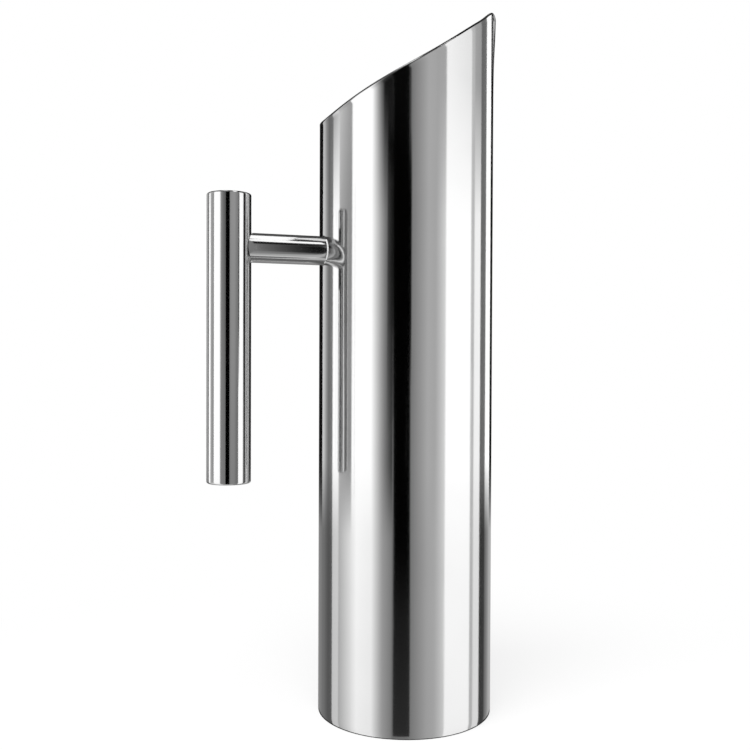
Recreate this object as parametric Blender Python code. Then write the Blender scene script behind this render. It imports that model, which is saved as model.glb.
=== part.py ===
"""Stainless steel water pitcher, in metres, +Z up.

A plain polished tube with a slanted mouth and a pressed pour lip stands on a pressed bottom. Its
handle is a round grip, held off the wall by one short stem. A single screw, put in from inside the
vessel, pulls grip and stem onto the wall. The origin is the middle of the underside; the pour lip
points to +X and the handle to -X.
"""

import math

import bmesh
import bpy

MM = 0.001

# Body tube
BODY_DIAMETER = 85.0 * MM
BODY_WALL = 1.5 * MM
BODY_EDGE_ROUND = 0.6 * MM

# Mouth: cut on a slant that rises towards the lip, with four low shoulders halfway between the
# sides and the ends, which make the tip blunter than a flat cut would. The rim lies in the slant
MOUTH_BACK_HEIGHT = 286.4 * MM
MOUTH_RISE = 55.2 * MM
MOUTH_SHOULDER = 1.2 * MM
RIM_OUTER_ROUND = 1.1 * MM
RIM_INNER_ROUND = 0.3 * MM

# Pour lip, pressed out of the wall at the front of the mouth
LIP_REACH = 3.3 * MM
LIP_HEIGHT = 45.0 * MM
LIP_HALF_ANGLE = math.radians(32.0)

# Bottom, a pressed dish whose flange stands up inside the tube
BOTTOM_THICKNESS = 1.2 * MM
BOTTOM_FLANGE = 9.0 * MM
BOTTOM_BEND = 2.2 * MM

# Stem between wall and grip
STEM_DIAMETER = 13.8 * MM
STEM_LENGTH = 34.8 * MM
STEM_DROP = 62.4 * MM
STEM_CHAMFER = 0.4 * MM

# Grip, a tube with an end cap in each end and a tapped block behind the stem
GRIP_DIAMETER = 20.5 * MM
GRIP_WALL = 1.5 * MM
GRIP_ABOVE_STEM = 24.5 * MM
GRIP_BELOW_STEM = 109.4 * MM
GRIP_EDGE_ROUND = 0.9 * MM
CAP_THICKNESS = 1.2 * MM
CAP_SKIRT = 5.0 * MM
CAP_BEND = 1.5 * MM
BLOCK_LENGTH = 22.0 * MM
BLOCK_CHAMFER = 0.8 * MM
BLOCK_COVER = 2.5 * MM

# Handle screw, with a washer and a seal under its head inside the vessel
SCREW_DIAMETER = 5.0 * MM
SCREW_TIP_CHAMFER = 0.8 * MM
SCREW_TIP_ROOM = 1.0 * MM
HEAD_DIAMETER = 9.5 * MM
HEAD_HEIGHT = 2.7 * MM
HEAD_ROUND = 1.0 * MM
SOCKET_WIDTH = 3.0 * MM
SOCKET_DEPTH = 1.6 * MM
WASHER_DIAMETER = 17.0 * MM
WASHER_THICKNESS = 2.2 * MM
SEAL_DIAMETER = 15.0 * MM
SEAL_THICKNESS = 1.0 * MM

# Clearances
SEAT_GAP = 0.3 * MM
SCREW_CLEARANCE = 0.3 * MM

# Facets
BODY_SEGMENTS = 96
GRIP_SEGMENTS = 48
STEM_SEGMENTS = 40
SCREW_SEGMENTS = 24
PLAIN_ROWS = 4
LIP_ROWS = 8
ARC_STEPS = 3
SMOOTH_ANGLE = math.radians(30.0)
WELD_DISTANCE = 0.001 * MM

# No round takes more of a wall than this share
ROUND_SHARE = 0.75

# Places that follow from the sizes above, along -X from the tube's axis or up from the floor
BODY_RADIUS = BODY_DIAMETER / 2
BORE_RADIUS = BODY_RADIUS - BODY_WALL
STEM_RADIUS = STEM_DIAMETER / 2
STEM_HEIGHT = MOUTH_BACK_HEIGHT - STEM_DROP
GRIP_RADIUS = GRIP_DIAMETER / 2
GRIP_BORE_RADIUS = GRIP_RADIUS - GRIP_WALL
GRIP_LENGTH = GRIP_ABOVE_STEM + GRIP_BELOW_STEM
PLUG_RADIUS = GRIP_BORE_RADIUS - SEAT_GAP
HANDLE_REACH = BODY_RADIUS + STEM_LENGTH + GRIP_RADIUS
HOLE_RADIUS = SCREW_DIAMETER / 2 + SCREW_CLEARANCE
HOLE_END = HANDLE_REACH + PLUG_RADIUS - BLOCK_COVER
SEAL_OUTSIDE = BORE_RADIUS - SEAT_GAP
WASHER_OUTSIDE = SEAL_OUTSIDE - SEAL_THICKNESS - SEAT_GAP
WASHER_FACE = WASHER_OUTSIDE - WASHER_THICKNESS
HEAD_SEAT = WASHER_FACE - SEAT_GAP
SCREW_LENGTH = HOLE_END - SCREW_TIP_ROOM - HEAD_SEAT

# Finishes: base colour, roughness, metallic
MIRROR_STEEL = ((0.78, 0.78, 0.77), 0.06, 1.0)
SATIN_STEEL = ((0.62, 0.62, 0.61), 0.32, 1.0)
TURNED_STEEL = ((0.55, 0.55, 0.54), 0.40, 1.0)
SEAL_RUBBER = ((0.70, 0.70, 0.68), 0.55, 0.0)


def clear_scene():
    """Remove every object, so that the model starts from nothing."""
    for old in list(bpy.data.objects):
        bpy.data.objects.remove(old, do_unlink=True)


def make_material(name, finish):
    """Principled material with one piece's colour, roughness and metallic value."""
    colour, roughness, metallic = finish
    material = bpy.data.materials.new(name)
    material.use_nodes = True
    shader = material.node_tree.nodes["Principled BSDF"]
    shader.inputs["Base Color"].default_value = (*colour, 1.0)
    shader.inputs["Roughness"].default_value = roughness
    shader.inputs["Metallic"].default_value = metallic
    return material


def make_empty(name, parent=None, location=(0.0, 0.0, 0.0)):
    """Empty that carries a group of pieces."""
    empty = bpy.data.objects.new(name, None)
    empty.location = location
    empty.parent = parent
    bpy.context.scene.collection.objects.link(empty)
    return empty


def make_object(name, bm, parent, location=(0.0, 0.0, 0.0), rotation=(0.0, 0.0, 0.0)):
    """Object from a bmesh, its faces turned outwards and its round sides shaded smooth."""
    bmesh.ops.recalc_face_normals(bm, faces=bm.faces)
    mesh = bpy.data.meshes.new(name)
    bm.to_mesh(mesh)
    bm.free()
    mesh.shade_smooth()
    mesh.set_sharp_from_angle(angle=SMOOTH_ANGLE)
    piece = bpy.data.objects.new(name, mesh)
    piece.location = location
    piece.rotation_euler = rotation
    piece.parent = parent
    bpy.context.scene.collection.objects.link(piece)
    return piece


def finish_piece(piece, finish, cutter=None):
    """Give a piece its material and, where it has one, the hole that a cutter makes."""
    piece.data.materials.append(make_material(piece.name + "_finish", finish))
    if cutter is not None:
        cut = piece.modifiers.new(cutter.name, "BOOLEAN")
        cut.operation = "DIFFERENCE"
        cut.solver = "EXACT"
        cut.object = cutter
    return piece


def make_cutter(name, parent, radius, length, segments, centre, rotation=(0.0, 0.0, 0.0)):
    """Round or many-sided bar that is only used to cut, so it stays out of the model."""
    bm = bmesh.new()
    bmesh.ops.create_cone(
        bm, cap_ends=True, segments=segments, radius1=radius, radius2=radius, depth=length
    )
    cutter = make_object(name, bm, parent, centre, rotation)
    cutter.hide_render = True
    cutter.display_type = "WIRE"
    return cutter


def arc(centre_r, centre_z, radius, start, end):
    """Points of an arc in the (r, z) plane, from one angle in degrees to another."""
    points = []
    for step in range(ARC_STEPS + 1):
        angle = math.radians(start + (end - start) * step / ARC_STEPS)
        points.append((centre_r + radius * math.cos(angle), centre_z + radius * math.sin(angle)))
    return points


def ring_solid(section, segments):
    """Ring whose section, a loop of points, is given for each angle round the ring."""
    bm = bmesh.new()
    loops = []
    for step in range(segments):
        loops.append([bm.verts.new(point) for point in section(math.tau * step / segments)])
    for step, loop in enumerate(loops):
        following = loops[(step + 1) % segments]
        for index in range(len(loop)):
            before = index - 1
            bm.faces.new((loop[before], loop[index], following[index], following[before]))
    return bm


def turned_solid(profile, segments):
    """Solid turned round Z from a profile that starts and ends on that axis."""
    bm = bmesh.new()
    verts = [bm.verts.new((r, 0.0, z)) for r, z in profile]
    edges = [bm.edges.new(pair) for pair in zip(verts, verts[1:])]
    bmesh.ops.spin(
        bm, geom=verts + edges, cent=(0, 0, 0), axis=(0, 0, 1), angle=math.tau, steps=segments
    )
    bmesh.ops.remove_doubles(bm, verts=bm.verts, dist=WELD_DISTANCE)
    return bm


def mouth_height(angle):
    """Height of the rim at an angle from the lip's middle."""
    forward = math.cos(angle)
    slant = MOUTH_RISE * (1 + forward) / 2
    shoulder = MOUTH_SHOULDER * math.sin(2 * angle) ** 2
    return MOUTH_BACK_HEIGHT + slant + shoulder


def lip_offset(angle, depth):
    """How far the pressed lip stands out of the plain tube, at a depth below the rim."""
    turn = abs(math.remainder(angle, math.tau))
    if turn >= LIP_HALF_ANGLE or depth >= LIP_HEIGHT:
        return 0.0
    across = math.cos(math.pi / 2 * turn / LIP_HALF_ANGLE) ** 2
    rise = 1 - depth / LIP_HEIGHT
    return LIP_REACH * across * rise * rise * (3 - 2 * rise)


def body_section(angle):
    """Loop through the tube's wall at one angle: up the outside, over the rim, down the inside."""
    rim = mouth_height(angle)
    edge = min(BODY_EDGE_ROUND, BODY_WALL * ROUND_SHARE)
    outer_round = min(RIM_OUTER_ROUND, BODY_WALL * ROUND_SHARE)
    inner_round = min(RIM_INNER_ROUND, (BODY_WALL - outer_round) * ROUND_SHARE)
    lip_foot = rim - LIP_HEIGHT
    heights = [edge + (lip_foot - edge) * row / PLAIN_ROWS for row in range(1, PLAIN_ROWS)]
    lip_top = rim - outer_round
    heights += [lip_foot + (lip_top - lip_foot) * row / LIP_ROWS for row in range(LIP_ROWS)]

    profile = arc(BODY_RADIUS - edge, edge, edge, -90, 0)
    profile += [(BODY_RADIUS + lip_offset(angle, rim - z), z) for z in heights]
    reach = lip_offset(angle, 0.0)
    edges = arc(BODY_RADIUS + reach - outer_round, lip_top, outer_round, 0, 90)
    edges += arc(BORE_RADIUS + reach + inner_round, rim - inner_round, inner_round, 90, 180)
    climb = MOUTH_RISE / BODY_DIAMETER * math.cos(angle)
    profile += [(r, z + climb * (r - BODY_RADIUS - reach)) for r, z in edges]
    profile += [(BORE_RADIUS + lip_offset(angle, rim - z), z) for z in reversed(heights)]
    profile.append((BORE_RADIUS, 0.0))
    return [(r * math.cos(angle), r * math.sin(angle), z) for r, z in profile]


def make_body(parent, hole_cutter):
    """Body tube with its slanted mouth, pour lip and one screw hole at the back."""
    bm = ring_solid(body_section, BODY_SEGMENTS)
    finish_piece(make_object("body_shell", bm, parent), MIRROR_STEEL, hole_cutter)


def pressed_dish(radius, thickness, depth, bend, segments):
    """Sheet pressed into a flat dish: underside at z = 0, flange standing up to the depth."""
    inner_bend = max(bend - thickness, 0.0)
    profile = [(0.0, 0.0)]
    profile += arc(radius - bend, bend, bend, -90, 0)
    profile += [(radius, depth), (radius - thickness, depth)]
    profile += arc(radius - bend, bend, inner_bend, 0, -90)
    profile.append((0.0, thickness))
    return turned_solid(profile, segments)


def make_bottom(parent):
    """Bottom of the vessel, flush with the tube's lower edge."""
    radius = BORE_RADIUS - SEAT_GAP
    bm = pressed_dish(radius, BOTTOM_THICKNESS, BOTTOM_FLANGE, BOTTOM_BEND, BODY_SEGMENTS)
    finish_piece(make_object("base_dish", bm, parent), SATIN_STEEL)


def saddle(radius, across):
    """Distance from a tube's axis to its surface, at a distance across from the middle line."""
    return math.sqrt(radius * radius - across * across)


def stem_section(angle):
    """Loop through the stem's wall: both ends are hollowed to fit the tubes they meet."""
    def point(radius, from_grip, setback=0.0):
        across = radius * math.cos(angle)
        height = radius * math.sin(angle)
        if from_grip:
            distance = HANDLE_REACH - saddle(GRIP_RADIUS + SEAT_GAP, across)
        else:
            distance = saddle(BODY_RADIUS + SEAT_GAP, across) + setback
        return (-distance, across, height)

    chamfer = min(STEM_CHAMFER, (STEM_RADIUS - HOLE_RADIUS) * ROUND_SHARE)
    return [
        point(HOLE_RADIUS, False),
        point(STEM_RADIUS - chamfer, False),
        point(STEM_RADIUS, False, chamfer),
        point(STEM_RADIUS, True),
        point(HOLE_RADIUS, True),
    ]


def make_stem(parent):
    """Stem that holds the grip off the wall, bored through for the screw."""
    bm = ring_solid(stem_section, STEM_SEGMENTS)
    finish_piece(make_object("handle_stem", bm, parent), MIRROR_STEEL)


def grip_section(angle):
    """Loop through the grip tube's wall, both outer edges rounded."""
    edge = min(GRIP_EDGE_ROUND, GRIP_WALL * ROUND_SHARE)
    profile = [(GRIP_BORE_RADIUS, -GRIP_BELOW_STEM)]
    profile += arc(GRIP_RADIUS - edge, -GRIP_BELOW_STEM + edge, edge, -90, 0)
    profile += arc(GRIP_RADIUS - edge, GRIP_ABOVE_STEM - edge, edge, 0, 90)
    profile.append((GRIP_BORE_RADIUS, GRIP_ABOVE_STEM))
    return [(r * math.cos(angle), r * math.sin(angle), z) for r, z in profile]


def make_grip(handle, hole_cutter):
    """Grip tube, its two end caps and the tapped block that the screw pulls on."""
    axis = (-HANDLE_REACH, 0.0, 0.0)
    bm = ring_solid(grip_section, GRIP_SEGMENTS)
    finish_piece(make_object("grip_tube", bm, handle, axis), MIRROR_STEEL, hole_cutter)

    upside_down = (math.pi, 0.0, 0.0)
    cap_places = {
        "grip_cap_top": (GRIP_ABOVE_STEM, upside_down),
        "grip_cap_bottom": (-GRIP_BELOW_STEM, (0.0, 0.0, 0.0)),
    }
    for name, (height, rotation) in cap_places.items():
        bm = pressed_dish(PLUG_RADIUS, CAP_THICKNESS, CAP_SKIRT, CAP_BEND, GRIP_SEGMENTS)
        place = (-HANDLE_REACH, 0.0, height)
        finish_piece(make_object(name, bm, handle, place, rotation), MIRROR_STEEL)

    half = BLOCK_LENGTH / 2
    chamfer = min(BLOCK_CHAMFER, half * ROUND_SHARE)
    profile = [(0.0, -half), (PLUG_RADIUS - chamfer, -half), (PLUG_RADIUS, -half + chamfer)]
    profile += [(r, -z) for r, z in reversed(profile)]
    bm = turned_solid(profile, GRIP_SEGMENTS)
    finish_piece(make_object("grip_block", bm, handle, axis), TURNED_STEEL, hole_cutter)


def make_screw(handle):
    """Handle screw with a low round head and a hexagon socket, pointing to -X."""
    radius = SCREW_DIAMETER / 2
    head = HEAD_DIAMETER / 2
    head_round = min(HEAD_ROUND, HEAD_HEIGHT * ROUND_SHARE)
    tip = min(SCREW_TIP_CHAMFER, radius * ROUND_SHARE)
    profile = [(0.0, -SCREW_LENGTH), (radius - tip, -SCREW_LENGTH), (radius, tip - SCREW_LENGTH)]
    profile += [(radius, 0.0), (head, 0.0)]
    profile += arc(head - head_round, HEAD_HEIGHT - head_round, head_round, 0, 90)
    profile.append((0.0, HEAD_HEIGHT))

    place = (-HEAD_SEAT, 0.0, 0.0)
    along_x = (0.0, math.pi / 2, 0.0)
    bm = turned_solid(profile, SCREW_SEGMENTS)
    screw = make_object("handle_screw", bm, handle, place, along_x)
    socket_top = (-HEAD_SEAT + HEAD_HEIGHT, 0.0, 0.0)
    corner_radius = SOCKET_WIDTH / math.sqrt(3)
    socket = make_cutter("socket_cutter", handle, corner_radius, SOCKET_DEPTH * 2, 6, socket_top, along_x)
    finish_piece(screw, TURNED_STEEL, socket)


def make_washer_and_seal(handle):
    """Saddle washer, flat under the screw head and round to the wall, on a bent seal ring."""
    def washer_section(angle):
        points = []
        for radius, flat in ((HOLE_RADIUS, True), (WASHER_DIAMETER / 2, True),
                             (WASHER_DIAMETER / 2, False), (HOLE_RADIUS, False)):
            across = radius * math.cos(angle)
            distance = WASHER_FACE if flat else saddle(WASHER_OUTSIDE, across)
            points.append((-distance, across, radius * math.sin(angle)))
        return points

    def seal_section(angle):
        inside = SEAL_OUTSIDE - SEAL_THICKNESS
        points = []
        for radius, face in ((HOLE_RADIUS, inside), (SEAL_DIAMETER / 2, inside),
                             (SEAL_DIAMETER / 2, SEAL_OUTSIDE), (HOLE_RADIUS, SEAL_OUTSIDE)):
            across = radius * math.cos(angle)
            points.append((-saddle(face, across), across, radius * math.sin(angle)))
        return points

    washer = make_object("saddle_washer", ring_solid(washer_section, STEM_SEGMENTS), handle)
    finish_piece(washer, TURNED_STEEL)
    seal = make_object("wall_seal", ring_solid(seal_section, STEM_SEGMENTS), handle)
    finish_piece(seal, SEAL_RUBBER)


def main():
    """Build the whole pitcher."""
    clear_scene()
    pitcher = make_empty("pitcher")
    handle = make_empty("handle", pitcher, (0.0, 0.0, STEM_HEIGHT))

    hole_start = WASHER_FACE
    hole_centre = (-(hole_start + HOLE_END) / 2, 0.0, 0.0)
    along_x = (0.0, math.pi / 2, 0.0)
    hole_cutter = make_cutter(
        "hole_cutter", handle, HOLE_RADIUS, HOLE_END - hole_start, SCREW_SEGMENTS, hole_centre, along_x
    )

    make_body(pitcher, hole_cutter)
    make_bottom(pitcher)
    make_stem(handle)
    make_grip(handle, hole_cutter)
    make_screw(handle)
    make_washer_and_seal(handle)


main()
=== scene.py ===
"""Stainless steel water pitcher, dressed for its picture.

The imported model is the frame. Each of its pieces but the hidden block in the grip is made again here as
a fine mesh with its finish, in the same place and at the same size. The stage adds a pale floor, a tent
of cards that only the polished steel sees, soft light and the camera.
"""

import math
from collections import namedtuple

import bmesh
import bpy
from bpy.props import FloatProperty, FloatVectorProperty, PointerProperty
from mathutils import Matrix, Vector


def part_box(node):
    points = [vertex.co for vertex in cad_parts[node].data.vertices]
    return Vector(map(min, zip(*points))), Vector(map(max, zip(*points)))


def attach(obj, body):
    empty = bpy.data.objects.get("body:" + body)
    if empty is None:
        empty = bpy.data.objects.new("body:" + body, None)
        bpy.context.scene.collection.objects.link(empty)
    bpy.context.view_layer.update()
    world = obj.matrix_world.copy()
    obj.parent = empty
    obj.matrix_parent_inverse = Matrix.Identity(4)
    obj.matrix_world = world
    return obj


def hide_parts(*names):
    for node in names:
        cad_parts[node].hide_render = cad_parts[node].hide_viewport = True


bl_info = {
    "name": "Steel Water Pitcher",
    "version": (1, 0, 0),
    "blender": (4, 5, 0),
    "location": "View3D > Sidebar > Pitcher",
    "description": "Dresses a packed steel water pitcher with fine meshes, finishes and a studio",
    "category": "Add Mesh",
}

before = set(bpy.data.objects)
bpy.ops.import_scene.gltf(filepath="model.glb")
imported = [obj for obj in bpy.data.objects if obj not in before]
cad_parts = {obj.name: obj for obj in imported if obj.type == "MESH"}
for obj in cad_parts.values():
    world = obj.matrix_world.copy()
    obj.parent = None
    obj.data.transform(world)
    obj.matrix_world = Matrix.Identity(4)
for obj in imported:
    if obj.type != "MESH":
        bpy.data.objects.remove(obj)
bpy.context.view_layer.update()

MM = 0.001
MICRON = 0.000001

# Places of the pieces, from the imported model
BODY_LOW, BODY_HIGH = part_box("body_shell")
DISH_LOW, DISH_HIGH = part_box("base_dish")
STEM_LOW, STEM_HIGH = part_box("handle_stem")
GRIP_LOW, GRIP_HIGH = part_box("grip_tube")
CAP_LOW, CAP_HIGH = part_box("grip_cap_top")
SCREW_LOW, SCREW_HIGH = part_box("handle_screw")
WASHER_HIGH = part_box("saddle_washer")[1]
SEAL_LOW, SEAL_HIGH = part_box("wall_seal")

BODY_RADIUS = BODY_HIGH.y
LIP_REACH = BODY_HIGH.x - BODY_RADIUS
STEM_RADIUS = STEM_HIGH.y
STEM_HEIGHT = (STEM_LOW.z + STEM_HIGH.z) / 2
GRIP_RADIUS = GRIP_HIGH.y
GRIP_X = (GRIP_LOW.x + GRIP_HIGH.x) / 2

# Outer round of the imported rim, which starts where the outer wall ends
RIM_ROUND = 1.1 * MM
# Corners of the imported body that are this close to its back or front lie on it
SIDE_TOLERANCE = 0.01 * MM


def mouth_height(side):
    """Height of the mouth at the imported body's back or front, which its lowest or highest x gives."""
    corners = [corner.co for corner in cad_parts["body_shell"].data.vertices]
    return RIM_ROUND + max(corner.z for corner in corners if abs(corner.x - side) < SIDE_TOLERANCE)


MOUTH_FRONT = mouth_height(BODY_HIGH.x)
MOUTH_RISE = MOUTH_FRONT - mouth_height(BODY_LOW.x)

# Rows and facets of the fine meshes
ROUND_STEPS = 8
SMALL_ROUND_STEPS = 4
PLAIN_ROWS = 6
LIP_ROWS = 40
FLARE_STEPS = 8
EASE_STEPS = 8
BODY_SEGMENTS = 360
GRIP_SEGMENTS = 160
STEM_SEGMENTS = 160
FIXING_SEGMENTS = 72
SMOOTH_ANGLE = math.radians(32.0)
WELD_DISTANCE = 0.002 * MM

# A row this close to each round keeps the shading of the long walls straight
GUARD = 0.5 * MM
# Pieces that are pressed or welded together show only a hairline
HAIRLINE = 0.04 * MM
# A round takes the dark edge colour from this sine of its angle on, and wholly after this much more
# The dark edge colour is a ground finish on the rounds, and painted shade on the foot's underside where it
# meets the floor
DARK_EDGE_START = 0.72
DARK_EDGE_BLEND = 0.2
# How steeply the drawn-in foot and the turned-out rim curve away from the straight wall
EASE_POWER = 3
FLARE_POWER = 2
# Reach of a drawn-up lip corner to each side, round the body
CORNER_HALF_ANGLE = math.radians(24.0)
# Middle of the stem's fillet, outwards and along the stem, as shares of its size
FILLET_MIDDLE = (0.42, 0.48)
# Painted highlight: the fillet is near-white up to this share of the stem's radius above and below its axis
WELD_HIGHLIGHT_REACH = 0.7
# Small forms as shares of the sheet, the screw's head or the shank that they are on
SHEET_EDGE_SHARE = 1 / 3
CAP_BEND_SHARE = 1.25
HEAD_ROUND_SHARE = 0.4
SOCKET_DEPTH_SHARE = 0.6
TIP_SHARE = 1 / 3

# Axis, roughness and depth of the rings that spinning, facing and turning leave
SPUN_RINGS = ("Z", 0.24, 2.0 * MICRON)
FACED_RINGS = ("Z", 0.10, 0.5 * MICRON)
TURNED_RINGS = ("X", 0.26, 2.0 * MICRON)
# Least roughness of the weld and of the seal
WELD_ROUGHNESS = 0.40
SEAL_ROUGHNESS = 0.45

Row = namedtuple("Row", "radius height inside edge", defaults=(0.0, 0.0))
Card = namedtuple("Card", "name end tone table crown", defaults=(None,))


def length_setting(label, text, default):
    """Setting in metres."""
    return FloatProperty(name=label, description=text, default=default, unit="LENGTH")


def angle_setting(label, text, degrees):
    """Setting for an angle, with its default given in degrees."""
    return FloatProperty(name=label, description=text, default=math.radians(degrees), subtype="ANGLE")


def share_setting(label, text, default):
    """Setting from 0 to 1."""
    return FloatProperty(name=label, description=text, default=default, min=0.0, max=1.0, subtype="FACTOR")


def colour_setting(label, text, default):
    """Setting for a colour."""
    return FloatVectorProperty(name=label, description=text, default=default, subtype="COLOR")


class PitcherSizes(bpy.types.PropertyGroup):
    """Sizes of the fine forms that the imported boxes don't give."""

    wall: length_setting("Wall", "Thickness of the body's wall", 1.5 * MM)
    shoulder: length_setting(
        "Mouth shoulder", "Height of the rim above a flat slant, halfway between its sides and ends", 1.2 * MM
    )
    lip_height: length_setting("Lip height", "Depth of the pressed pour lip", 45.0 * MM)
    lip_half_angle: angle_setting("Lip half angle", "Half the width of the pour lip, round the body", 32.0)
    corner_lift: length_setting(
        "Lip corner lift", "How far the rim is drawn up at the two corners of the lip", 1.35 * MM
    )
    corner_angle: angle_setting(
        "Lip corner angle", "From the middle of the lip to its corners, round the body", 34.5
    )
    rim_round: length_setting("Rim round", "Outer round of the rim", RIM_ROUND)
    rim_inner_round: length_setting("Rim inner round", "Inner round of the rim", 0.3 * MM)
    rim_flare: length_setting("Rim flare", "How far the rim is turned out", 0.06 * MM)
    rim_flare_height: length_setting("Rim flare height", "Height of the turned-out rim", 2.0 * MM)
    foot_round: length_setting("Foot round", "Round of the body's lower edge", 0.6 * MM)
    foot_ease: length_setting("Foot ease", "How far the foot is drawn in", 0.1 * MM)
    foot_ease_height: length_setting("Foot ease height", "Height of the drawn-in foot", 4.0 * MM)
    dish_thickness: length_setting("Bottom thickness", "Sheet of the bottom", 1.2 * MM)
    dish_bend: length_setting("Bottom bend", "Outer bend of the bottom", 2.2 * MM)
    grip_wall: length_setting("Grip wall", "Thickness of the grip's wall", 1.5 * MM)
    grip_round: length_setting("Grip round", "Round of the grip's ends", 0.9 * MM)
    cap_thickness: length_setting("Cap thickness", "Sheet of the grip's end caps", 1.2 * MM)
    stem_fillet: length_setting("Stem fillet", "Fillet of the stem at the wall", 0.4 * MM)
    screw_diameter: length_setting("Screw", "Diameter of the handle screw", 5.0 * MM)
    socket_width: length_setting("Socket", "Width across the screw's hexagon", 3.0 * MM)
    seal_thickness: length_setting("Seal", "Thickness of the seal under the washer", 1.0 * MM)
    washer_edge: length_setting("Washer edge", "Chamfer of the washer's outer edge", 0.3 * MM)


class PitcherFinish(bpy.types.PropertyGroup):
    """Colours and roughness of the finishes."""

    polished: colour_setting("Polished steel", "Colour of the mirror-polished steel", (0.68, 0.68, 0.68))
    # Dark edge colour: a ground finish, and painted shade on the foot's underside where it meets the floor
    ground_and_shade: colour_setting(
        "Ground edges", "Colour of the edges that are ground and not polished", (0.22, 0.22, 0.22)
    )
    satin: colour_setting("Satin steel", "Colour of the steel inside the vessel", (0.50, 0.50, 0.49))
    turned: colour_setting("Turned steel", "Colour of the screw and its washer", (0.45, 0.45, 0.44))
    # The weld's near-white colour is a painted highlight where the stem meets the wall
    weld: colour_setting("Weld", "Colour of the dressed weld between stem and wall", (0.92, 0.92, 0.92))
    silicone: colour_setting("Silicone", "Colour of the seal under the washer", (0.70, 0.70, 0.68))
    mirror_roughness: share_setting(
        "Mirror roughness", "Roughness of the polished steel between its scratches", 0.08
    )
    satin_roughness: share_setting("Satin roughness", "Roughness of the steel inside the vessel", 0.30)


class PitcherStudio(bpy.types.PropertyGroup):
    """Camera, floor and light."""

    camera_distance: length_setting("Camera distance", "From the body's axis to the camera", 0.47397)
    camera_azimuth: angle_setting(
        "Camera azimuth", "Turn of the camera round the body, from the front towards the lip", -21.0
    )
    camera_height: length_setting("Camera height", "Height of the camera", 0.17124)
    camera_turn: angle_setting(
        "Camera turn", "Turn of the view away from the body's axis, to the left", 1.80224
    )
    camera_tilt: angle_setting("Camera tilt", "How far the camera looks down", 0.80975)
    camera_roll: angle_setting("Camera roll", "Roll of the camera", 0.22172)
    camera_lens: FloatProperty(
        name="Lens", description="Focal length on a 36 mm sensor", default=46.068, unit="CAMERA"
    )
    card_distance: length_setting("Card distance", "From the body's axis to the upright cards", 0.65)
    card_strength: FloatProperty(
        name="Card strength",
        description="Light of a white card, which makes up for what steel swallows",
        default=1.5,
    )
    floor_colour: colour_setting("Floor", "Colour of the floor", (0.90, 0.90, 0.90))
    floor_glow: share_setting("Floor glow", "Share of plain white that the camera sees on the floor", 0.68)
    floor_near: length_setting("Floor near", "Where the floor begins to turn white", 0.08)
    floor_far: length_setting("Floor far", "Where the floor is all white", 0.30)
    lamp_power: FloatProperty(
        name="Lamp power", description="Power of the soft lamp", default=22.0, unit="POWER"
    )
    fill_light: FloatProperty(
        name="Fill light", description="Light that comes from all round", default=0.6
    )


# Upright cards round the body, from behind it over the handle's side and the front to the lip's side.
# Each card starts where the last one ends, at an azimuth in degrees from the front towards the lip.
# Its tone is how light it looks at its two edges, then how light the table mirrors it there, and then,
# where it isn't the same all the way up, how light its crown is
FIRST_CARD_AZIMUTH = -180.0
CARDS = (
    Card("rear_left_flag", -159.5, (0.14, 0.02), (0.48, 0.44)),
    Card("rear_left_panel", -149, (0.80, 0.66), (0.42, 0.40), (0.70, 0.58)),
    Card("left_shade", -139, (0.64, 0.42), (0.39, 0.32), (0.52, 0.40)),
    Card("left_flag", -128.3, (0.41, 0.45), (0.31, 0.32), (0.38, 0.42)),
    Card("left_box", -114.8, (1.00, 1.00), (0.76, 0.79), (0.51, 0.70)),
    Card("left_grey", -92.5, (0.65, 0.51), (0.65, 0.87), (0.77, 0.58)),
    Card("key_rise", -85, (1.00, 1.00), (0.88, 0.95)),
    Card("key_box", -63.5, (1.00, 1.00), (0.96, 0.93)),
    Card("key_fall_off", -48.5, (0.98, 0.53), (0.94, 0.585), (1.00, 0.22)),
    Card("key_edge", -36.5, (0.53, 0.20), (0.585, 0.46), (0.05, 0.10)),
    Card("front_shade", -15, (0.40, 0.44), (0.40, 0.42)),
    Card("front_grey", 7, (0.45, 0.64), (0.44, 0.61)),
    Card("front_pale", 17, (0.64, 0.63), (0.61, 0.64)),
    Card("front_rise", 30.5, (0.63, 0.82), (0.64, 0.80), (0.62, 0.62)),
    Card("fill_box", 70.5, (1.00, 1.00), (0.97, 0.97), (0.94, 0.88)),
    Card("right_line", 77, (0.72, 0.68), (0.68, 0.68)),
    Card("right_pale", 91, (0.93, 0.94), (0.86, 0.86), (0.62, 0.58)),
    Card("right_flag", 106, (0.38, 0.42), (0.20, 0.23)),
    Card("right_box", 124, (1.00, 1.00), (0.36, 0.60)),
    Card("rear_right_flag", 154, (0.03, 0.20), (0.62, 0.60)),
    Card("rear_flag", 180, (0.16, 0.14), (0.54, 0.50)),
)
CARD_STEP = 3.0
# Heights on a card. It has the table's tones at the foot, its own from the line to the waist and the
# crown's from the crown to the top, and it blends between them
CARD_BOTTOM = -0.27
CARD_FOOT = -0.02
CARD_LINE = 0.06
CARD_WAIST = 0.33
CARD_CROWN = 0.48
CARD_TOP = 0.56
# Under the foot the table's tones fade and grow hazy. At the bottom the card runs inwards over the
# table, to this share of its distance
TABLE_FADE = 0.90
TABLE_HAZE = 0.05
TABLE_INNER_SHARE = 0.45

# Valance over the cards, which gains light in a narrow hump at the handle's side, and the ceiling on it
VALANCE_TOP = 0.80
VALANCE_FRONT_TONE = 0.26
VALANCE_REAR_TONE = 0.12
VALANCE_LEFT_GAIN = 0.55
VALANCE_LEFT_POWER = 6
CEILING_GAP = 0.01
CEILING_FRONT_TONE = 0.28
CEILING_REAR_TONE = 0.30
# Soft boxes in the ceiling, each given by two corners, which the stem's top mirrors
SOFTBOXES = (
    ((-0.22, -0.19), (-0.14, 0.16)),
    ((0.00, -0.20), (0.12, 0.16)),
    ((0.05, -0.55), (0.25, -0.20)),
)
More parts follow.
